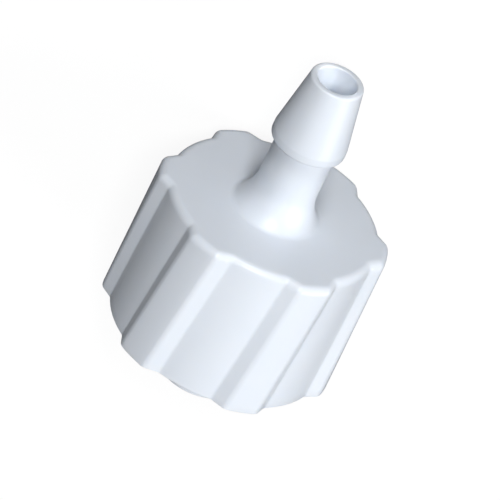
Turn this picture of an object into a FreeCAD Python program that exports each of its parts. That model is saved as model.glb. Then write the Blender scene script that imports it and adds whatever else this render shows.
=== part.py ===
"""Male luer lock to hose barb fitting, moulded in one piece.

The fitting's axis is X. The luer tip is at the origin and the barb points along +X. Z is up:
the fitting lies on two neighbouring ribs of its lock ring. Lengths are in millimetres and
angles in degrees.
"""
import FreeCAD, Part
import math
import os

import Sketcher
from FreeCAD import Placement, Rotation, Vector

NODE = "luer_barb_fitting"

# Driving dimensions: cell alias, value, what it is
SIZES = [
    ("luer_tip_diameter", 3.95, "male luer cone at its tip"),
    ("luer_taper", 0.06, "growth of the cone's diameter per length"),
    ("luer_projection", 2.3, "from the open end of the ring to the luer tip"),
    ("luer_bore_diameter", 2.3, "passage through the luer cone"),
    ("luer_tip_chamfer", 0.2, "outer edge of the luer tip"),
    ("ring_height", 7.6, "lock ring along the axis"),
    ("end_wall", 1.2, "closed end of the lock ring"),
    ("cavity_chamfer", 0.3, "corners at the bottom of the ring's cavity"),
    ("mouth_chamfer", 0.25, "lead-in of the ring's open end"),
    ("open_edge_chamfer", 0.1, "outer edge of the ring's open end"),
    ("ring_wall", 1.14, "lock ring between the ribs, outside the thread's root"),
    ("rib_height", 0.46, "crest of a rib above the ring between the ribs"),
    ("rib_count", 6, "grip ribs round the ring"),
    ("rib_crest_angle", 16.7, "width of a crest, seen from the axis"),
    ("rib_foot_angle", 30.0, "width of a rib at its foot, seen from the axis"),
    ("rib_root_depth", 0.4, "rib below the outside of the ring, inside the wall"),
    ("rib_twist", 9.2, "turn of a rib over the height of the ring"),
    ("rib_crest_rounding", 0.45, "long edges of a crest"),
    ("rib_foot_rounding", 0.3, "hollow along the foot of a rib"),
    ("rim_rounding", 0.38, "outer edge of the ring's closed end"),
    ("thread_major_diameter", 8.0, "cavity of the ring, the root of its thread"),
    ("thread_height", 0.5, "crest of a ridge above the cavity wall"),
    ("thread_lead", 5.0, "advance in one turn"),
    ("thread_starts", 2, "ridges side by side"),
    ("thread_length", 4.8, "thread along the axis"),
    ("thread_setback", 0.6, "from the open end to the thread"),
    ("thread_crest_width", 0.35, "flat top of a ridge"),
    ("thread_foot_width", 0.95, "ridge at the cavity wall"),
    ("thread_root_depth", 0.2, "ridge below the cavity wall, inside the ring"),
    ("stem_diameter", 2.9, "neck between the ring and the barb"),
    ("flare_reach", 0.62, "foot of the neck beyond the neck, all round"),
    ("flare_length", 1.65, "hollow curve from the ring up the neck"),
    ("barb_diameter", 3.6, "barb at its widest"),
    ("barb_setback", 4.0, "from the ring to the step of the barb"),
    ("barb_land", 0.45, "straight band at the widest part"),
    ("barb_reach", 7.8, "from the ring to the tip of the barb"),
    ("barb_bore_diameter", 1.95, "passage through the barb"),
    ("barb_tip_wall", 0.305, "wall round the passage at the barb's tip"),
    ("barb_edge_rounding", 0.12, "edge of the step"),
    ("barb_tip_rounding", 0.12, "outer edge of the tip"),
    ("bore_chamfer", 0.06, "edges of the passage at both tips"),
    ("bore_step_length", 0.4, "cone between the two widths of the passage"),
]

# Places along the axis, as expressions on the cells
RING_OPEN = "sizes.luer_projection"
RING_CLOSED = "sizes.luer_projection + sizes.ring_height"
CAVITY_FLOOR = RING_CLOSED + " - sizes.end_wall"
FLARE_END = RING_CLOSED + " + sizes.flare_length"
BARB_STEP = RING_CLOSED + " + sizes.barb_setback"
BARB_CONE = BARB_STEP + " + sizes.barb_land"
BARB_TIP = RING_CLOSED + " + sizes.barb_reach"
BORE_STEP = CAVITY_FLOOR + " + sizes.bore_step_length"
THREAD_START = RING_OPEN + " + sizes.thread_setback"

# Radii, as expressions on the cells
LUER_TIP = "sizes.luer_tip_diameter / 2"
LUER_ROOT = "sizes.luer_tip_diameter / 2 + sizes.luer_taper / 2 * (%s)" % CAVITY_FLOOR
LUER_BORE = "sizes.luer_bore_diameter / 2"
BARB_BORE = "sizes.barb_bore_diameter / 2"
CAVITY_WALL = "sizes.thread_major_diameter / 2"
THREAD_CREST = CAVITY_WALL + " - sizes.thread_height"
THREAD_ROOT = CAVITY_WALL + " + sizes.thread_root_depth"
VALLEY = CAVITY_WALL + " + sizes.ring_wall"
CREST = VALLEY + " + sizes.rib_height"
STEM = "sizes.stem_diameter / 2"
FLARE = STEM + " + sizes.flare_reach"
BARB = "sizes.barb_diameter / 2"
BARB_END = BARB_BORE + " + sizes.barb_tip_wall"

# Reach for finding an edge by its place
NEAR = 1e-4


def make_sheet(doc):
    """Spreadsheet with one aliased cell for each driving dimension."""
    sheet = doc.addObject("Spreadsheet::Sheet", "sizes")
    for row, (alias, value, note) in enumerate(SIZES, start=1):
        sheet.set("A%d" % row, note)
        sheet.set("B%d" % row, str(value))
        sheet.setAlias("B%d" % row, alias)
    doc.recompute()
    return sheet


def origin_part(body, role):
    """Plane or axis of the body's own origin."""
    return next(part for part in body.Origin.OriginFeatures if part.Role == role)


def number(sheet, expression):
    """Value of an expression on the cells."""
    return float(sheet.evalExpression(expression))


def new_sketch(body, role, name):
    """Sketch on one of the body's origin planes."""
    sketch = body.newObject("Sketcher::SketchObject", name)
    sketch.AttachmentSupport = [(origin_part(body, role), "")]
    sketch.MapMode = "FlatFace"
    return sketch


def bind(sketch, constraint, name, expression):
    """Add a named constraint whose value follows the sheet."""
    index = sketch.addConstraint(constraint)
    sketch.renameConstraint(index, name)
    sketch.setExpression("Constraints." + name, expression)


def fix_point(sketch, sheet, line, end, name, place):
    """Hold a point or the end of a line at a pair of expressions, measured from the origin."""
    for kind, axis, expression in zip(("DistanceX", "DistanceY"), ("x", "y"), place):
        value = number(sheet, expression)
        constraint = Sketcher.Constraint(kind, -1, 1, line, end, value)
        bind(sketch, constraint, "%s_%s" % (name, axis), expression)


def hollow_arc(foot, top):
    """Arc down to a foot that leaves a level line at its top."""
    rise = foot.y - top.y
    radius = (rise ** 2 + (top.x - foot.x) ** 2) / (2 * rise)
    centre = top + Vector(0, radius, 0)
    circle = Part.Circle(centre, Vector(0, 0, 1), radius)
    start = math.atan2(foot.y - centre.y, foot.x - centre.x)
    return Part.ArcOfCircle(circle, start, -math.pi / 2)


def draw_outline(sketch, sheet, corners, hollow=None):
    """Closed outline through named corners, each an (x, y) pair of expressions.

    A corner whose x is None lies on the sketch's vertical axis. The side that starts at the
    hollow corner is an arc that runs smoothly into the side after it.
    """
    names = [name for name, _, _ in corners]
    points = []
    for _, along, out in corners:
        x = 0.0 if along is None else number(sheet, along)
        points.append(Vector(x, number(sheet, out), 0))
    count = len(points)
    for index in range(count):
        draw = hollow_arc if names[index] == hollow else Part.LineSegment
        sketch.addGeometry(draw(points[index], points[(index + 1) % count]), False)
    for index in range(count):
        joint = "Tangent" if names[index] == hollow else "Coincident"
        following = (index + 1) % count
        sketch.addConstraint(Sketcher.Constraint(joint, index, 2, following, 1))
    for index, (name, along, out) in enumerate(corners):
        if along is None:
            sketch.addConstraint(Sketcher.Constraint("PointOnObject", index, 1, -2))
            height = Sketcher.Constraint("DistanceY", -1, 1, index, 1, points[index].y)
            bind(sketch, height, name + "_y", out)
        else:
            fix_point(sketch, sheet, index, 1, name, (along, out))


def turned_form(body, sheet):
    """Everything round: luer cone, lock ring, neck, barb and the passage through them."""
    sketch = new_sketch(body, "XY_Plane", "turned_section")
    draw_outline(sketch, sheet, [
        ("luer_mouth", None, LUER_BORE),
        ("luer_tip", None, LUER_TIP),
        ("luer_root", CAVITY_FLOOR, LUER_ROOT),
        ("cavity_corner", CAVITY_FLOOR, CAVITY_WALL),
        ("ring_mouth", RING_OPEN, CAVITY_WALL),
        ("ring_open", RING_OPEN, VALLEY),
        ("ring_closed", RING_CLOSED, VALLEY),
        ("neck_foot", RING_CLOSED, FLARE),
        ("neck_start", FLARE_END, STEM),
        ("neck_end", BARB_STEP, STEM),
        ("barb_step", BARB_STEP, BARB),
        ("barb_cone", BARB_CONE, BARB),
        ("barb_tip", BARB_TIP, BARB_END),
        ("barb_mouth", BARB_TIP, BARB_BORE),
        ("bore_narrow", BORE_STEP, BARB_BORE),
        ("bore_wide", CAVITY_FLOOR, LUER_BORE),
    ], hollow="neck_foot")
    turned = body.newObject("PartDesign::Revolution", "turned_form")
    turned.Profile = sketch
    turned.ReferenceAxis = (origin_part(body, "X_Axis"), [""])
    turned.Angle = 360
    sketch.Visibility = False
    return turned


def mirrored(point):
    """Point across the rib's middle line."""
    return Vector(point.x, -point.y, 0)


def corner_arc(corner, foot, crest_radius, rounding):
    """Centre and flank end of the arc that rounds a crest's corner.

    It touches the crest circle and the flank, both from inside the rib.
    """
    down = (foot - corner).normalize()
    inward = Vector(-down.y, down.x, 0)
    start = corner + inward * rounding
    along = start.dot(down)
    half_chord = math.sqrt((crest_radius - rounding) ** 2 - start.dot(start) + along ** 2)
    centre = start - down * (along + half_chord)
    return centre, centre - inward * rounding


def draw_rib(sketch, corner, foot, crest_radius, rounding, depth):
    """Closed outline of a rib: crest, rounding, flank, root, flank, rounding; then two points."""
    centre, touch = corner_arc(corner, foot, crest_radius, rounding)
    root = foot + (foot - corner) * (depth / (corner.x - foot.x))
    crest_half = math.atan2(centre.y, centre.x)
    flank_angle = math.atan2(touch.y - centre.y, touch.x - centre.x)
    normal = Vector(0, 0, 1)
    crest_circle = Part.Circle(Vector(), normal, crest_radius)
    upper_circle = Part.Circle(centre, normal, rounding)
    lower_circle = Part.Circle(mirrored(centre), normal, rounding)
    sketch.addGeometry(Part.ArcOfCircle(crest_circle, -crest_half, crest_half), False)
    sketch.addGeometry(Part.ArcOfCircle(upper_circle, crest_half, flank_angle), False)
    sketch.addGeometry(Part.LineSegment(touch, root), False)
    sketch.addGeometry(Part.LineSegment(root, mirrored(root)), False)
    sketch.addGeometry(Part.LineSegment(mirrored(root), mirrored(touch)), False)
    sketch.addGeometry(Part.ArcOfCircle(lower_circle, -flank_angle, -crest_half), False)
    sketch.addGeometry(Part.Point(foot), True)
    sketch.addGeometry(Part.Point(corner), True)


def rib_section(body, sheet):
    """Section of one rib at the open end: a rounded crest and two flanks that run into the wall."""
    sketch = new_sketch(body, "YZ_Plane", "rib_section")
    sketch.setExpression("AttachmentOffset.Base.z", RING_OPEN)
    corner_place = ("(%s) * cos(sizes.rib_crest_angle / 2 * 1 deg)" % CREST,
                    "(%s) * sin(sizes.rib_crest_angle / 2 * 1 deg)" % CREST)
    foot_place = ("(%s) * cos(sizes.rib_foot_angle / 2 * 1 deg)" % VALLEY,
                  "(%s) * sin(sizes.rib_foot_angle / 2 * 1 deg)" % VALLEY)
    corner_point = Vector(number(sheet, corner_place[0]), number(sheet, corner_place[1]), 0)
    foot_point = Vector(number(sheet, foot_place[0]), number(sheet, foot_place[1]), 0)
    crest_radius = number(sheet, CREST)
    rounding = number(sheet, "sizes.rib_crest_rounding")
    depth = number(sheet, "sizes.rib_root_depth")
    draw_rib(sketch, corner_point, foot_point, crest_radius, rounding, depth)

    crest, upper, flank, root, other_flank, lower, foot, corner = range(8)
    sketch.addConstraint(Sketcher.Constraint("Coincident", crest, 3, -1, 1))
    sketch.addConstraint(Sketcher.Constraint("Tangent", crest, 2, upper, 1))
    sketch.addConstraint(Sketcher.Constraint("Tangent", upper, 2, flank, 1))
    sketch.addConstraint(Sketcher.Constraint("Coincident", flank, 2, root, 1))
    sketch.addConstraint(Sketcher.Constraint("Coincident", root, 2, other_flank, 1))
    sketch.addConstraint(Sketcher.Constraint("Tangent", other_flank, 2, lower, 1))
    sketch.addConstraint(Sketcher.Constraint("Tangent", lower, 2, crest, 1))
    sketch.addConstraint(Sketcher.Constraint("Equal", upper, lower))
    sketch.addConstraint(Sketcher.Constraint("Symmetric", root, 1, root, 2, -1))
    sketch.addConstraint(Sketcher.Constraint("Symmetric", crest, 1, crest, 2, -1))
    sketch.addConstraint(Sketcher.Constraint("PointOnObject", foot, 1, flank))
    sketch.addConstraint(Sketcher.Constraint("PointOnObject", corner, 1, flank))
    bind(sketch, Sketcher.Constraint("Radius", crest, crest_radius), "crest_radius", CREST)
    rounded = Sketcher.Constraint("Radius", upper, rounding)
    bind(sketch, rounded, "crest_rounding", "sizes.rib_crest_rounding")
    fix_point(sketch, sheet, foot, 1, "foot", foot_place)
    fix_point(sketch, sheet, corner, 1, "corner", corner_place)
    root_depth = Sketcher.Constraint("DistanceX", root, 1, foot, 1, depth)
    bind(sketch, root_depth, "root_depth", "sizes.rib_root_depth")
    return sketch


def grip_ribs(body, sheet):
    """Ribs that climb the ring along a steep right-hand helix."""
    sketch = rib_section(body, sheet)
    rib = body.newObject("PartDesign::AdditiveHelix", "rib")
    rib.Profile = sketch
    rib.ReferenceAxis = (origin_part(body, "X_Axis"), [""])
    rib.Mode = "height-turns-angle"
    rib.setExpression("Height", "sizes.ring_height")
    rib.setExpression("Turns", "sizes.rib_twist / 360")
    sketch.Visibility = False
    return pattern(body, rib, "ribs", "sizes.rib_count")


def lock_thread(body, sheet):
    """Double-start thread inside the ring."""
    sketch = new_sketch(body, "XY_Plane", "thread_section")
    middle = THREAD_START + " + sizes.thread_foot_width / 2"
    draw_outline(sketch, sheet, [
        ("root_start", THREAD_START, THREAD_ROOT),
        ("foot_start", THREAD_START, CAVITY_WALL),
        ("crest_start", middle + " - sizes.thread_crest_width / 2", THREAD_CREST),
        ("crest_end", middle + " + sizes.thread_crest_width / 2", THREAD_CREST),
        ("foot_end", middle + " + sizes.thread_foot_width / 2", CAVITY_WALL),
        ("root_end", middle + " + sizes.thread_foot_width / 2", THREAD_ROOT),
    ])
    ridge = body.newObject("PartDesign::AdditiveHelix", "thread_ridge")
    ridge.Profile = sketch
    ridge.ReferenceAxis = (origin_part(body, "X_Axis"), [""])
    ridge.Mode = "pitch-height-angle"
    ridge.setExpression("Pitch", "sizes.thread_lead")
    ridge.setExpression("Height", "sizes.thread_length - sizes.thread_foot_width")
    sketch.Visibility = False
    return pattern(body, ridge, "thread", "sizes.thread_starts")


def pattern(body, feature, name, count):
    """Copies of a feature, evenly spaced round the axis."""
    copies = body.newObject("PartDesign::PolarPattern", name)
    copies.Originals = [feature]
    copies.Axis = (origin_part(body, "X_Axis"), [""])
    copies.Angle = 360
    copies.setExpression("Occurrences", count)
    body.Tip = copies
    body.Document.recompute()
    return copies


def radius_at(point):
    """Distance of a point from the axis."""
    return math.hypot(point.y, point.z)


def long_edges(shape, radius, length):
    """Edges that run the length of the ring at one radius."""
    names = []
    for index, edge in enumerate(shape.Edges, start=1):
        ends = [vertex.Point for vertex in edge.Vertexes]
        if len(ends) != 2 or abs(abs(ends[0].x - ends[1].x) - length) > NEAR:
            continue
        if all(abs(radius_at(end) - radius) < NEAR for end in ends):
            names.append("Edge%d" % index)
    return names


def outer_edges(shape, x, radius):
    """Edges in the plane at x that lie outside a radius."""
    names = []
    for index, edge in enumerate(shape.Edges, start=1):
        box = edge.BoundBox
        in_plane = abs(box.XMin - x) < NEAR and abs(box.XMax - x) < NEAR
        if in_plane and all(radius_at(vertex.Point) > radius for vertex in edge.Vertexes):
            names.append("Edge%d" % index)
    return names


def circles(shape, places):
    """Circular edges round the axis, each at an (x, radius) place."""
    names = []
    for index, edge in enumerate(shape.Edges, start=1):
        if not isinstance(edge.Curve, Part.Circle):
            continue
        centre = edge.Curve.Center
        for x, radius in places:
            if abs(centre.x - x) < NEAR and abs(edge.Curve.Radius - radius) < NEAR:
                names.append("Edge%d" % index)
    return names


def dress_up(body, kind, name, base, edges, size):
    """Fillet or chamfer on named edges, sized from the sheet."""
    if not edges:
        raise RuntimeError("no edge found for " + name)
    feature = body.newObject("PartDesign::" + kind, name)
    feature.Base = (base, edges)
    feature.setExpression("Radius" if kind == "Fillet" else "Size", size)
    body.Tip = feature
    body.Document.recompute()
    return feature


def round_ring(body, sheet, base):
    """Soft feet of the ribs, and soft edges at both ends of the ring."""
    feet = long_edges(base.Shape, number(sheet, VALLEY), number(sheet, "sizes.ring_height"))
    base = dress_up(body, "Fillet", "rib_feet", base, feet, "sizes.rib_foot_rounding")
    inside = number(sheet, THREAD_ROOT)
    rim = outer_edges(base.Shape, number(sheet, RING_CLOSED), inside)
    base = dress_up(body, "Fillet", "rim", base, rim, "sizes.rim_rounding")
    open_edge = outer_edges(base.Shape, number(sheet, RING_OPEN), inside)
    return dress_up(body, "Chamfer", "open_edge", base, open_edge, "sizes.open_edge_chamfer")


def round_details(body, sheet, base):
    """Soft edges of the round parts, from the luer tip to the barb."""
    def place(x, radius):
        return number(sheet, x), number(sheet, radius)

    tip = circles(base.Shape, [(0.0, number(sheet, LUER_TIP))])
    base = dress_up(body, "Chamfer", "luer_tip", base, tip, "sizes.luer_tip_chamfer")
    floor = circles(base.Shape, [place(CAVITY_FLOOR, LUER_ROOT), place(CAVITY_FLOOR, CAVITY_WALL)])
    base = dress_up(body, "Chamfer", "cavity_floor", base, floor, "sizes.cavity_chamfer")
    mouth = circles(base.Shape, [place(RING_OPEN, CAVITY_WALL)])
    base = dress_up(body, "Chamfer", "ring_mouth", base, mouth, "sizes.mouth_chamfer")
    step = circles(base.Shape, [place(BARB_STEP, BARB)])
    base = dress_up(body, "Fillet", "barb_step", base, step, "sizes.barb_edge_rounding")
    end = circles(base.Shape, [place(BARB_TIP, BARB_END)])
    base = dress_up(body, "Fillet", "barb_tip", base, end, "sizes.barb_tip_rounding")
    bores = circles(base.Shape, [place(BARB_TIP, BARB_BORE), (0.0, number(sheet, LUER_BORE))])
    return dress_up(body, "Chamfer", "bore_mouths", base, bores, "sizes.bore_chamfer")


def make_fitting(doc, sheet):
    """The whole fitting as one body, laid on two ribs."""
    body = doc.addObject("PartDesign::Body", NODE)
    body.Label = NODE
    turned_form(body, sheet)
    doc.recompute()
    ribbed = grip_ribs(body, sheet)
    rounded = round_ring(body, sheet, ribbed)
    detailed = round_details(body, sheet, rounded)
    plain_volume = detailed.Shape.Volume
    threaded = lock_thread(body, sheet)
    if threaded.Shape.Volume <= plain_volume:
        raise RuntimeError("the thread adds nothing")
    # Half the twist back, so that the middle of the ring rests evenly on two ribs
    body.Placement = Placement(Vector(), Rotation(Vector(-1, 0, 0), 1))
    body.setExpression("Placement.Rotation.Angle", "sizes.rib_twist / 2 * 1 deg")
    doc.recompute()
    return body


def check(doc, body):
    """Stop if any object failed or the fitting isn't one sound solid."""
    for item in doc.Objects:
        if {"Invalid", "Error"} & set(item.State):
            raise RuntimeError("%s failed: %s" % (item.Name, item.State))
    shape = body.Shape
    if shape.isNull() or not shape.isValid() or len(shape.Solids) != 1:
        raise RuntimeError("%s isn't one valid solid" % body.Label)


def main():
    doc = FreeCAD.newDocument("luer_to_hose_barb_fitting")
    sheet = make_sheet(doc)
    body = make_fitting(doc, sheet)
    check(doc, body)
    os.makedirs("parts", exist_ok=True)
    body.Shape.exportStep("parts/%s.step" % body.Label)
    box = body.Shape.BoundBox
    print("%s: %.2f x %.2f x %.2f mm, %.1f mm3, %d faces"
          % (body.Label, box.XLength, box.YLength, box.ZLength, body.Shape.Volume, len(body.Shape.Faces)))


main()
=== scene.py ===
import math

import bmesh
import bpy
from mathutils import Matrix, Vector


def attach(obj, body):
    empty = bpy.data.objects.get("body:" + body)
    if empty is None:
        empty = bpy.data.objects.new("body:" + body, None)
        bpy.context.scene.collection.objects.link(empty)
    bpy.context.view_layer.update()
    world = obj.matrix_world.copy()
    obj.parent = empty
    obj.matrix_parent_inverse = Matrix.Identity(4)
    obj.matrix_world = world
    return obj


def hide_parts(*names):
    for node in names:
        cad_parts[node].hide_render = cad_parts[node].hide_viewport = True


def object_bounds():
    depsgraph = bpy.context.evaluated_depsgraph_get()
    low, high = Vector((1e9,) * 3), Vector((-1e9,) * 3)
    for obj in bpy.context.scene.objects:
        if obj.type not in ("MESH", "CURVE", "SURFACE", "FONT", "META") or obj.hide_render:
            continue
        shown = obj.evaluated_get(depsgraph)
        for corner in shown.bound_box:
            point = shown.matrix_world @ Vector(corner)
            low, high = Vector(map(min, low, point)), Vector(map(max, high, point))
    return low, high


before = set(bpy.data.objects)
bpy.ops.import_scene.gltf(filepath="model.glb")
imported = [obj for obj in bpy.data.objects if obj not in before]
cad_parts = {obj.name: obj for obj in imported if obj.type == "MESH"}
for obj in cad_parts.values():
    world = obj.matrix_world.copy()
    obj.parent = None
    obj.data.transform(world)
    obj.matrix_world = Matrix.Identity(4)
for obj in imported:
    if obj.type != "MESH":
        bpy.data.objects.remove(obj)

CAD_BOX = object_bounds()
MM = 0.001

# The fitting's axis, and the middle of the luer tip, where it starts
AXIS = Vector((1, 0, 0))
CENTRE = Vector((0, 0, 0))

# Places along the axis, in millimetres from the luer tip
RING_OPEN = 2.3
CAVITY_FLOOR = 8.7
BORE_STEP = 9.1
RING_CLOSED = 9.9
BARB_STEP = 13.9
BARB_CONE = 14.35
BARB_TIP = 17.7

# Radii in millimetres; the luer cone's grows by its slope along each millimetre
LUER_TIP = 1.975
LUER_SLOPE = 0.03
LUER_ROOT = LUER_TIP + LUER_SLOPE * CAVITY_FLOOR
LUER_BORE = 1.15
BARB_BORE = 0.975
CAVITY = 4.0
VALLEY = 5.14
CREST = 5.598
STEM = 1.45
BARB = 1.8
BARB_END = 1.28

# Foot of the neck: radii of its two hollow arcs in millimetres, and the first one's turn in degrees
HOLLOW = 2.5
HOLLOW_TURN = 37
FOOT_HOLLOW = 0.37

# Radii in millimetres on the ring's closed and open faces: where the turned core's part of the
# face ends, and a circle between that edge and the ribbed outside
CLOSED_FACE_EDGE = 2.6
CLOSED_FACE_SPLIT = 3.0
OPEN_FACE_EDGE = 4.4
OPEN_FACE_SPLIT = 4.6

# Ribs of the ring, in degrees round the axis and millimetres
RIBS = 6
CREST_ANGLE = 16.7
FOOT_ANGLE = 30.0
RIB_TWIST = 9.2
CREST_ROUNDING = 0.45
FOOT_ROUNDING = 0.3
RIM_ROUNDING = 0.38
OPEN_EDGE_ROUNDING = 0.1

# Lock thread in the ring, in millimetres
THREAD_START = 2.9
THREAD_LEAD = 5.0
THREAD_RUN = 3.85
THREAD_FOOT_WIDTH = 0.95
THREAD_CREST_WIDTH = 0.35
THREAD_CREST = 3.5
THREAD_ROOT = 4.2
THREAD_ROUNDING = 0.1

# Facets along each curve
HOLLOW_STEPS = 14
FOOT_HOLLOW_STEPS = 8
RING_ARC_STEPS = 4
RIB_ROUNDING_STEPS = 6
RIM_STEPS = 8
OPEN_EDGE_STEPS = 3
TWIST_STEPS = 16
THREAD_STEPS = 96
THREAD_ROUNDING_STEPS = 3

# Strip in millimetres kept beside a rounding, so that the surface next to it shades as flat
BORDER = 0.05
# Points nearer to each other than this, in millimetres, are one place
NEAR = 1e-3
# Edges that turn by more degrees than this are shaded sharp
SHARP_TURN = 28

# Plastic: width of its grain and of its clouds of tint, and the grain's depth, in millimetres
GRAIN = 0.12
GRAIN_DEPTH = 0.004
CLOUD = 2.5

# Floor and world: half the floor's side in metres, how strongly the floor glows for the camera,
# and how strongly the world shines on the fitting
FLOOR_REACH = 0.6
FLOOR_GLOW = 0.88
WORLD_LIGHT = 0.055

# Camera: the way to the right in its picture and its direction seen from the fitting, then the
# point that it looks at and the picture's width in millimetres, then how far it stands from that
# point and the nearest and farthest that it sees, in metres
VIEW_RIGHT = Vector((0.3636, -0.9086, -0.2056))
VIEW_DIRECTION = Vector((0.5588, 0.0362, 0.8286))
VIEW_AIM = Vector((8.078, 0.274, 1.217))
VIEW_WIDTH = 22.69
VIEW_DISTANCE = 0.15
VIEW_NEAREST = 0.001
VIEW_FARTHEST = 5.0

# Square lamps, all turned to the luer tip and at one distance from it in metres. Each has its
# name, its direction seen from the tip, its side in metres and its power in watts
LAMP_DISTANCE = 0.3
LAMPS = [
    ("key", (0, -0.866, 0.5), 0.15, 0.5),
    ("front", (0.5588, -0.05, 0.8278), 0.08, 0.44),
    ("barb_end", (0.94, 0.015, 0.342), 0.06, 0.27),
    ("luer_side", (-0.95, 0.03, 0.31), 0.25, 0.42),
]

# Lamp for the barb's mouth: its direction seen from the barb's tip, its power in watts and its
# radius in millimetres, then its beam's spread in degrees, the share of the beam that fades
# towards its edge, and the beam's radius at the tip in millimetres
MOUTH_LAMP_DIRECTION = (0.68, -0.58, 0.45)
MOUTH_LAMP_POWER = 0.16
MOUTH_LAMP_RADIUS = 0.2
MOUTH_BEAM = 1.2
MOUTH_BEAM_BLEND = 0.3
MOUTH_BEAM_RADIUS = 0.85


def on_ring(x, radius, degrees):
    """Point at a radius and angle about the axis; the angle runs from +Y towards +Z."""
    turn = math.radians(degrees)
    return Vector((x, radius * math.cos(turn), radius * math.sin(turn)))


def extend(bm, vert, place):
    """Draw a line on from a vertex to a place and return the line's far end."""
    end = bmesh.ops.extrude_vert_indiv(bm, verts=[vert])["verts"][0]
    end.co = place
    return end


def sweep(bm, vert, degrees, steps, centre=CENTRE, axis=AXIS):
    """Draw an arc on from a vertex and return the arc's far end."""
    spun = bmesh.ops.spin(bm, geom=[vert], cent=centre, axis=axis,
                          angle=math.radians(degrees), steps=steps)
    return next(item for item in spun["geom_last"] if isinstance(item, bmesh.types.BMVert))


def round_corner(bm, place, radius, segments):
    """Round the corner that two lines make at a place."""
    vert = next(v for v in bm.verts if (v.co - place).length < NEAR)
    first, second = [edge.other_vert(vert).co - vert.co for edge in vert.link_edges]
    turn = math.pi - first.angle(second)
    bmesh.ops.bevel(bm, geom=[vert], offset=radius * math.tan(turn / 2), offset_type="OFFSET",
                    segments=segments, profile=0.5, affect="VERTICES", material=-1)


def keep_borders(bm):
    """Cut a short piece off both ends of each long line."""
    for edge in bm.edges[:]:
        length = edge.calc_length()
        if length < 4 * BORDER:
            continue
        near, far = edge.verts
        cut = bmesh.utils.edge_split(edge, near, BORDER / length)[1]
        rest = next(e for e in cut.link_edges if e.other_vert(cut) is far)
        bmesh.utils.edge_split(rest, far, BORDER / rest.calc_length())


def ring_outline(bm):
    """Flat outline of the ribbed ring at its open end."""
    foot = FOOT_ANGLE / 2
    crest = CREST_ANGLE / 2
    start = -RIB_TWIST / 2
    pitch = 360 / RIBS
    half_valley = pitch / 2 - foot
    first = on_ring(RING_OPEN, VALLEY, start - pitch / 2)
    vert = bmesh.ops.create_vert(bm, co=first)["vert"][0]
    vert = sweep(bm, vert, half_valley, RING_ARC_STEPS)
    vert = extend(bm, vert, on_ring(RING_OPEN, CREST, start - crest))
    vert = sweep(bm, vert, CREST_ANGLE, RING_ARC_STEPS)
    vert = extend(bm, vert, on_ring(RING_OPEN, VALLEY, start + foot))
    sweep(bm, vert, half_valley, RING_ARC_STEPS)
    bmesh.ops.spin(bm, geom=bm.verts[:] + bm.edges[:], cent=CENTRE, axis=AXIS,
                   angle=math.radians(pitch * (RIBS - 1)), steps=RIBS - 1, use_duplicate=True)
    bmesh.ops.remove_doubles(bm, verts=bm.verts[:], dist=NEAR)
    bmesh.ops.contextual_create(bm, geom=bm.edges[:])
    for rib in range(RIBS):
        middle = start + rib * pitch
        for side in (-1, 1):
            crest_corner = on_ring(RING_OPEN, CREST, middle + side * crest)
            round_corner(bm, crest_corner, CREST_ROUNDING, RIB_ROUNDING_STEPS)
            foot_corner = on_ring(RING_OPEN, VALLEY, middle + side * foot)
            round_corner(bm, foot_corner, FOOT_ROUNDING, RIB_ROUNDING_STEPS)


def end_cap(bm, x):
    """Large flat face of the ring in the plane at x."""
    flat = [f for f in bm.faces if all(abs(v.co.x - x) < NEAR for v in f.verts)]
    return max(flat, key=lambda face: len(face.verts))


def ribbed_ring(bm):
    """Outside of the lock ring with rounded ends; its two flat faces are left open."""
    ring_outline(bm)
    bmesh.ops.spin(bm, geom=bm.faces[:] + bm.edges[:] + bm.verts[:], cent=CENTRE, axis=AXIS,
                   dvec=AXIS * (RING_CLOSED - RING_OPEN) / TWIST_STEPS,
                   angle=math.radians(RIB_TWIST), steps=TWIST_STEPS)
    ends = ((RING_CLOSED, RIM_ROUNDING, RIM_STEPS),
            (RING_OPEN, OPEN_EDGE_ROUNDING, OPEN_EDGE_STEPS))
    for x, rounding, segments in ends:
        bmesh.ops.bevel(bm, geom=end_cap(bm, x).edges[:], offset=rounding, offset_type="OFFSET",
                        segments=segments, profile=0.5, affect="EDGES", material=-1)
        bmesh.ops.inset_region(bm, faces=[end_cap(bm, x)], thickness=BORDER)
        bmesh.ops.delete(bm, geom=[end_cap(bm, x)], context="FACES_ONLY")


def neck_foot(bm):
    """Draw the neck's foot: a long hollow arc, then a short one that ends flat on the ring."""
    turn = math.radians(HOLLOW_TURN)
    start = RING_CLOSED + HOLLOW * math.sin(turn) + FOOT_HOLLOW * (1 - math.sin(turn))
    centre = Vector((start, STEM + HOLLOW, 0))
    across = Vector((0, 0, 1))
    top = bmesh.ops.create_vert(bm, co=(start, STEM, 0))["vert"][0]
    foot = sweep(bm, top, -HOLLOW_TURN, HOLLOW_STEPS, centre, across)
    centre = foot.co.lerp(centre, FOOT_HOLLOW / HOLLOW)
    foot = sweep(bm, foot, HOLLOW_TURN - 90, FOOT_HOLLOW_STEPS, centre, across)
    extend(bm, foot, Vector((RING_CLOSED, CLOSED_FACE_EDGE, 0)))
    return top


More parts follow.
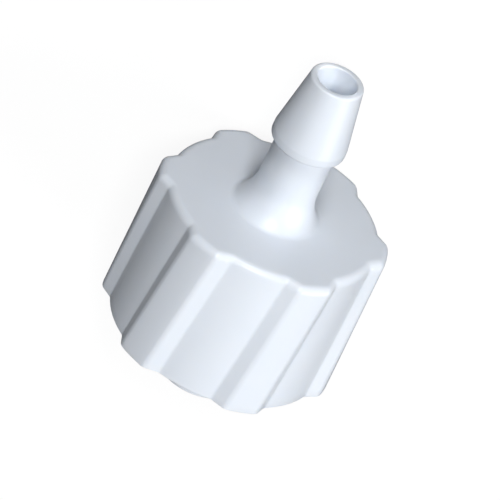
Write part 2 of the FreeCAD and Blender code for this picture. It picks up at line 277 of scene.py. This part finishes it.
def turned_core(bm, steps):
    """Everything round: neck, barb, passage, luer cone and the ring's cavity."""
    # Each corner's place along the axis and its radius, then its rounding's radius and facets
    outline = [
        (BARB_STEP, STEM, (0.05, 3)),
        (BARB_STEP, BARB, (0.12, 6)),
        (BARB_CONE, BARB, (0.3, 3)),
        (BARB_TIP, BARB_END, (0.12, 6)),
        (BARB_TIP, BARB_BORE, (0.06, 4)),
        (BORE_STEP, BARB_BORE, (0.2, 3)),
        (CAVITY_FLOOR, LUER_BORE, (0.2, 3)),
        (0.0, LUER_BORE, (0.06, 4)),
        (0.0, LUER_TIP, (0.2, 6)),
        (CAVITY_FLOOR, LUER_ROOT, (0.3, 6)),
        (CAVITY_FLOOR, CAVITY, (0.3, 6)),
        (RING_OPEN, CAVITY, (0.25, 4)),
        (RING_OPEN, OPEN_FACE_EDGE, None),
    ]
    vert = neck_foot(bm)
    for x, radius, _ in outline:
        vert = extend(bm, vert, Vector((x, radius, 0)))
    for x, radius, rounding in outline:
        if rounding:
            round_corner(bm, Vector((x, radius, 0)), *rounding)
    keep_borders(bm)
    bmesh.ops.spin(bm, geom=bm.verts[:] + bm.edges[:], cent=CENTRE, axis=AXIS,
                   angle=2 * math.pi, steps=steps, use_merge=True)


def lock_thread(bm):
    """Two right-hand ridges inside the ring, their roots sunk in its wall."""
    middle = THREAD_START + THREAD_FOOT_WIDTH / 2
    end = THREAD_START + THREAD_FOOT_WIDTH
    crest = [(middle - THREAD_CREST_WIDTH / 2, THREAD_CREST),
             (middle + THREAD_CREST_WIDTH / 2, THREAD_CREST)]
    foot = [(end, CAVITY), (end, THREAD_ROOT), (THREAD_START, THREAD_ROOT), (THREAD_START, CAVITY)]
    first = -RIB_TWIST / 2
    verts = [bm.verts.new(on_ring(x, radius, first)) for x, radius in crest + foot]
    bm.faces.new(verts)
    for x, radius in crest:
        round_corner(bm, on_ring(x, radius, first), THREAD_ROUNDING, THREAD_ROUNDING_STEPS)
    bmesh.ops.spin(bm, geom=bm.faces[:] + bm.edges[:] + bm.verts[:], cent=CENTRE, axis=AXIS,
                   dvec=AXIS * THREAD_RUN / THREAD_STEPS,
                   angle=2 * math.pi * THREAD_RUN / THREAD_LEAD, steps=THREAD_STEPS)
    bmesh.ops.spin(bm, geom=bm.faces[:] + bm.edges[:] + bm.verts[:], cent=CENTRE, axis=AXIS,
                   angle=math.pi, steps=1, use_duplicate=True)


def open_loop(bm, x, low, high):
    """Open edges in the plane at x between two radii."""
    loop = []
    for edge in bm.edges:
        if len(edge.link_faces) != 1 or any(abs(v.co.x - x) > NEAR for v in edge.verts):
            continue
        if all(low < math.hypot(v.co.y, v.co.z) < high for v in edge.verts):
            loop.append(edge)
    return loop


def add_mesh(target, draw, *args):
    """Draw a form in a mesh of its own and add it to another."""
    bm = bmesh.new()
    draw(bm, *args)
    bmesh.ops.recalc_face_normals(bm, faces=bm.faces[:])
    mesh = bpy.data.meshes.new("form")
    bm.to_mesh(mesh)
    bm.free()
    target.from_mesh(mesh)
    bpy.data.meshes.remove(mesh)


def make_fitting():
    """The whole fitting as one piece, in metres; the thread's ridges reach into its wall."""
    bm = bmesh.new()
    add_mesh(bm, ribbed_ring)
    rim = open_loop(bm, RING_CLOSED, CLOSED_FACE_SPLIT, CREST)
    add_mesh(bm, turned_core, len(rim))
    for x, split in ((RING_CLOSED, CLOSED_FACE_SPLIT), (RING_OPEN, OPEN_FACE_SPLIT)):
        loops = open_loop(bm, x, split, CREST) + open_loop(bm, x, STEM, split)
        bmesh.ops.bridge_loops(bm, edges=loops)
    bmesh.ops.recalc_face_normals(bm, faces=bm.faces[:])
    add_mesh(bm, lock_thread)
    bmesh.ops.scale(bm, vec=(MM, MM, MM), verts=bm.verts[:])
    mesh = bpy.data.meshes.new("fitting")
    bm.to_mesh(mesh)
    bm.free()
    mesh.shade_smooth()
    mesh.set_sharp_from_angle(angle=math.radians(SHARP_TURN))
    piece = bpy.data.objects.new("moulded_fitting", mesh)
    bpy.context.scene.collection.objects.link(piece)
    return piece


def hex_colour(code):
    """Linear RGBA of an sRGB hex colour."""
    parts = [int(code[i:i + 2], 16) / 255 for i in (0, 2, 4)]
    linear = [c / 12.92 if c <= 0.04045 else ((c + 0.055) / 1.055) ** 2.4 for c in parts]
    return (*linear, 1.0)


def add_node(tree, kind, sockets=None, links=None, **settings):
    """A node with its settings, socket values and incoming links, each as (node, output)."""
    node = tree.nodes.new(kind)
    for name, value in settings.items():
        setattr(node, name, value)
    for name, value in (sockets or {}).items():
        node.inputs[name].default_value = value
    for name, (source, output) in (links or {}).items():
        tree.links.new(source.outputs[output], node.inputs[name])
    return node


def moulded_white_plastic():
    """White injection-moulded polypropylene: clean, faintly blue, satin from a spark-eroded mould."""
    material = bpy.data.materials.new("moulded_white_polypropylene")
    material.use_nodes = True
    tree = material.node_tree
    shader = tree.nodes["Principled BSDF"]
    place = add_node(tree, "ShaderNodeTexCoord")
    grain = add_node(tree, "ShaderNodeTexNoise", {"Scale": 1 / (GRAIN * MM), "Detail": 3.0},
                     {"Vector": (place, "Object")})
    bump = add_node(tree, "ShaderNodeBump", {"Strength": 0.06, "Distance": GRAIN_DEPTH * MM},
                    {"Height": (grain, "Fac")})
    clouds = add_node(tree, "ShaderNodeTexNoise", {"Scale": 1 / (CLOUD * MM), "Detail": 2.0},
                      {"Vector": (place, "Object")})
    tint = add_node(tree, "ShaderNodeMix", links={"Factor": (clouds, "Fac")}, data_type="RGBA")
    tint.inputs["A"].default_value = hex_colour("e6edf7")
    tint.inputs["B"].default_value = hex_colour("eaf0f9")
    tree.links.new(tint.outputs["Result"], shader.inputs["Base Color"])
    tree.links.new(bump.outputs["Normal"], shader.inputs["Normal"])
    shader.inputs["Roughness"].default_value = 0.33
    shader.inputs["IOR"].default_value = 1.49
    shader.inputs["Subsurface Weight"].default_value = 0.3
    shader.inputs["Subsurface Radius"].default_value = (1.0, 0.9, 0.8)
    shader.inputs["Subsurface Scale"].default_value = 0.25 * MM
    return material


def floor_white():
    """Matt grey paper that glows for the camera alone: it shows as white with a faint shadow."""
    material = bpy.data.materials.new("white_paper")
    material.use_nodes = True
    tree = material.node_tree
    tree.nodes.clear()
    paper = add_node(tree, "ShaderNodeBsdfDiffuse", {"Color": hex_colour("707070")})
    path = add_node(tree, "ShaderNodeLightPath")
    lift = add_node(tree, "ShaderNodeMath", {1: FLOOR_GLOW}, {0: (path, "Is Camera Ray")},
                    operation="MULTIPLY")
    glow = add_node(tree, "ShaderNodeEmission", links={"Strength": (lift, "Value")})
    both = add_node(tree, "ShaderNodeAddShader", links={0: (paper, "BSDF"), 1: (glow, "Emission")})
    add_node(tree, "ShaderNodeOutputMaterial", links={"Surface": (both, "Shader")})
    return material


def make_floor(level):
    """Level floor that the fitting lies on."""
    bm = bmesh.new()
    bmesh.ops.create_grid(bm, x_segments=1, y_segments=1, size=FLOOR_REACH)
    bmesh.ops.translate(bm, vec=(0, 0, level), verts=bm.verts[:])
    mesh = bpy.data.meshes.new("floor")
    bm.to_mesh(mesh)
    bm.free()
    mesh.materials.append(floor_white())
    floor = bpy.data.objects.new("floor", mesh)
    bpy.context.scene.collection.objects.link(floor)


def make_world():
    """Faint pale light from all round; the camera, mirrored and passing rays see it as white."""
    world = bpy.data.worlds.new("studio")
    bpy.context.scene.world = world
    world.use_nodes = True
    tree = world.node_tree
    tree.nodes.clear()
    light = add_node(tree, "ShaderNodeBackground",
                     {"Color": hex_colour("f2f6ff"), "Strength": WORLD_LIGHT})
    white = add_node(tree, "ShaderNodeBackground", {"Color": hex_colour("ffffff")})
    path = add_node(tree, "ShaderNodeLightPath")
    seen = add_node(tree, "ShaderNodeMath", links={0: (path, "Is Camera Ray"),
                                                   1: (path, "Is Glossy Ray")}, operation="MAXIMUM")
    seen = add_node(tree, "ShaderNodeMath", links={0: (seen, "Value"),
                                                   1: (path, "Is Transmission Ray")},
                    operation="MAXIMUM")
    mix = add_node(tree, "ShaderNodeMixShader", links={0: (seen, "Value"), 1: (light, "Background"),
                                                      2: (white, "Background")})
    add_node(tree, "ShaderNodeOutputWorld", links={"Surface": (mix, "Shader")})


def hang_lamp(lamp, aim, direction, distance):
    """Hang a lamp a distance in metres from the point that it shines on."""
    direction = Vector(direction).normalized()
    turn = direction.to_track_quat("Z", "Y").to_matrix().to_4x4()
    obj = bpy.data.objects.new(lamp.name, lamp)
    obj.matrix_world = Matrix.Translation(Vector(aim) + direction * distance) @ turn
    bpy.context.scene.collection.objects.link(obj)


def add_lamp(name, direction, size, power):
    """Square soft lamp that shines on the fitting."""
    lamp = bpy.data.lights.new(name, "AREA")
    lamp.size = size
    lamp.energy = power
    hang_lamp(lamp, CENTRE, direction, LAMP_DISTANCE)


def add_mouth_lamp():
    """Narrow lamp whose beam just fits the barb's mouth and lights the passage inside it."""
    lamp = bpy.data.lights.new("mouth", "SPOT")
    lamp.energy = MOUTH_LAMP_POWER
    lamp.shadow_soft_size = MOUTH_LAMP_RADIUS * MM
    lamp.spot_size = math.radians(MOUTH_BEAM)
    lamp.spot_blend = MOUTH_BEAM_BLEND
    reach = MOUTH_BEAM_RADIUS * MM / math.tan(lamp.spot_size / 2)
    hang_lamp(lamp, (BARB_TIP * MM, 0, 0), MOUTH_LAMP_DIRECTION, reach)


def make_camera():
    """The photograph's view: down on the barb's end, 56 degrees above the floor."""
    right = VIEW_RIGHT.normalized()
    towards = (VIEW_DIRECTION - right * VIEW_DIRECTION.dot(right)).normalized()
    up = towards.cross(right)
    data = bpy.data.cameras.new("camera")
    data.type = "ORTHO"
    data.ortho_scale = VIEW_WIDTH * MM
    data.clip_start = VIEW_NEAREST
    data.clip_end = VIEW_FARTHEST
    camera = bpy.data.objects.new("camera", data)
    turn = Matrix((right, up, towards)).transposed().to_4x4()
    camera.matrix_world = Matrix.Translation(VIEW_AIM * MM + towards * VIEW_DISTANCE) @ turn
    bpy.context.scene.collection.objects.link(camera)
    bpy.context.scene.camera = camera


fitting = make_fitting()
fitting.data.materials.append(moulded_white_plastic())
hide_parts("luer_barb_fitting")
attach(fitting, "root")

make_camera()
make_floor(CAD_BOX[0][2])
make_world()
for lamp in LAMPS:
    add_lamp(*lamp)
add_mouth_lamp()

bpy.context.scene.view_settings.view_transform = "Standard"
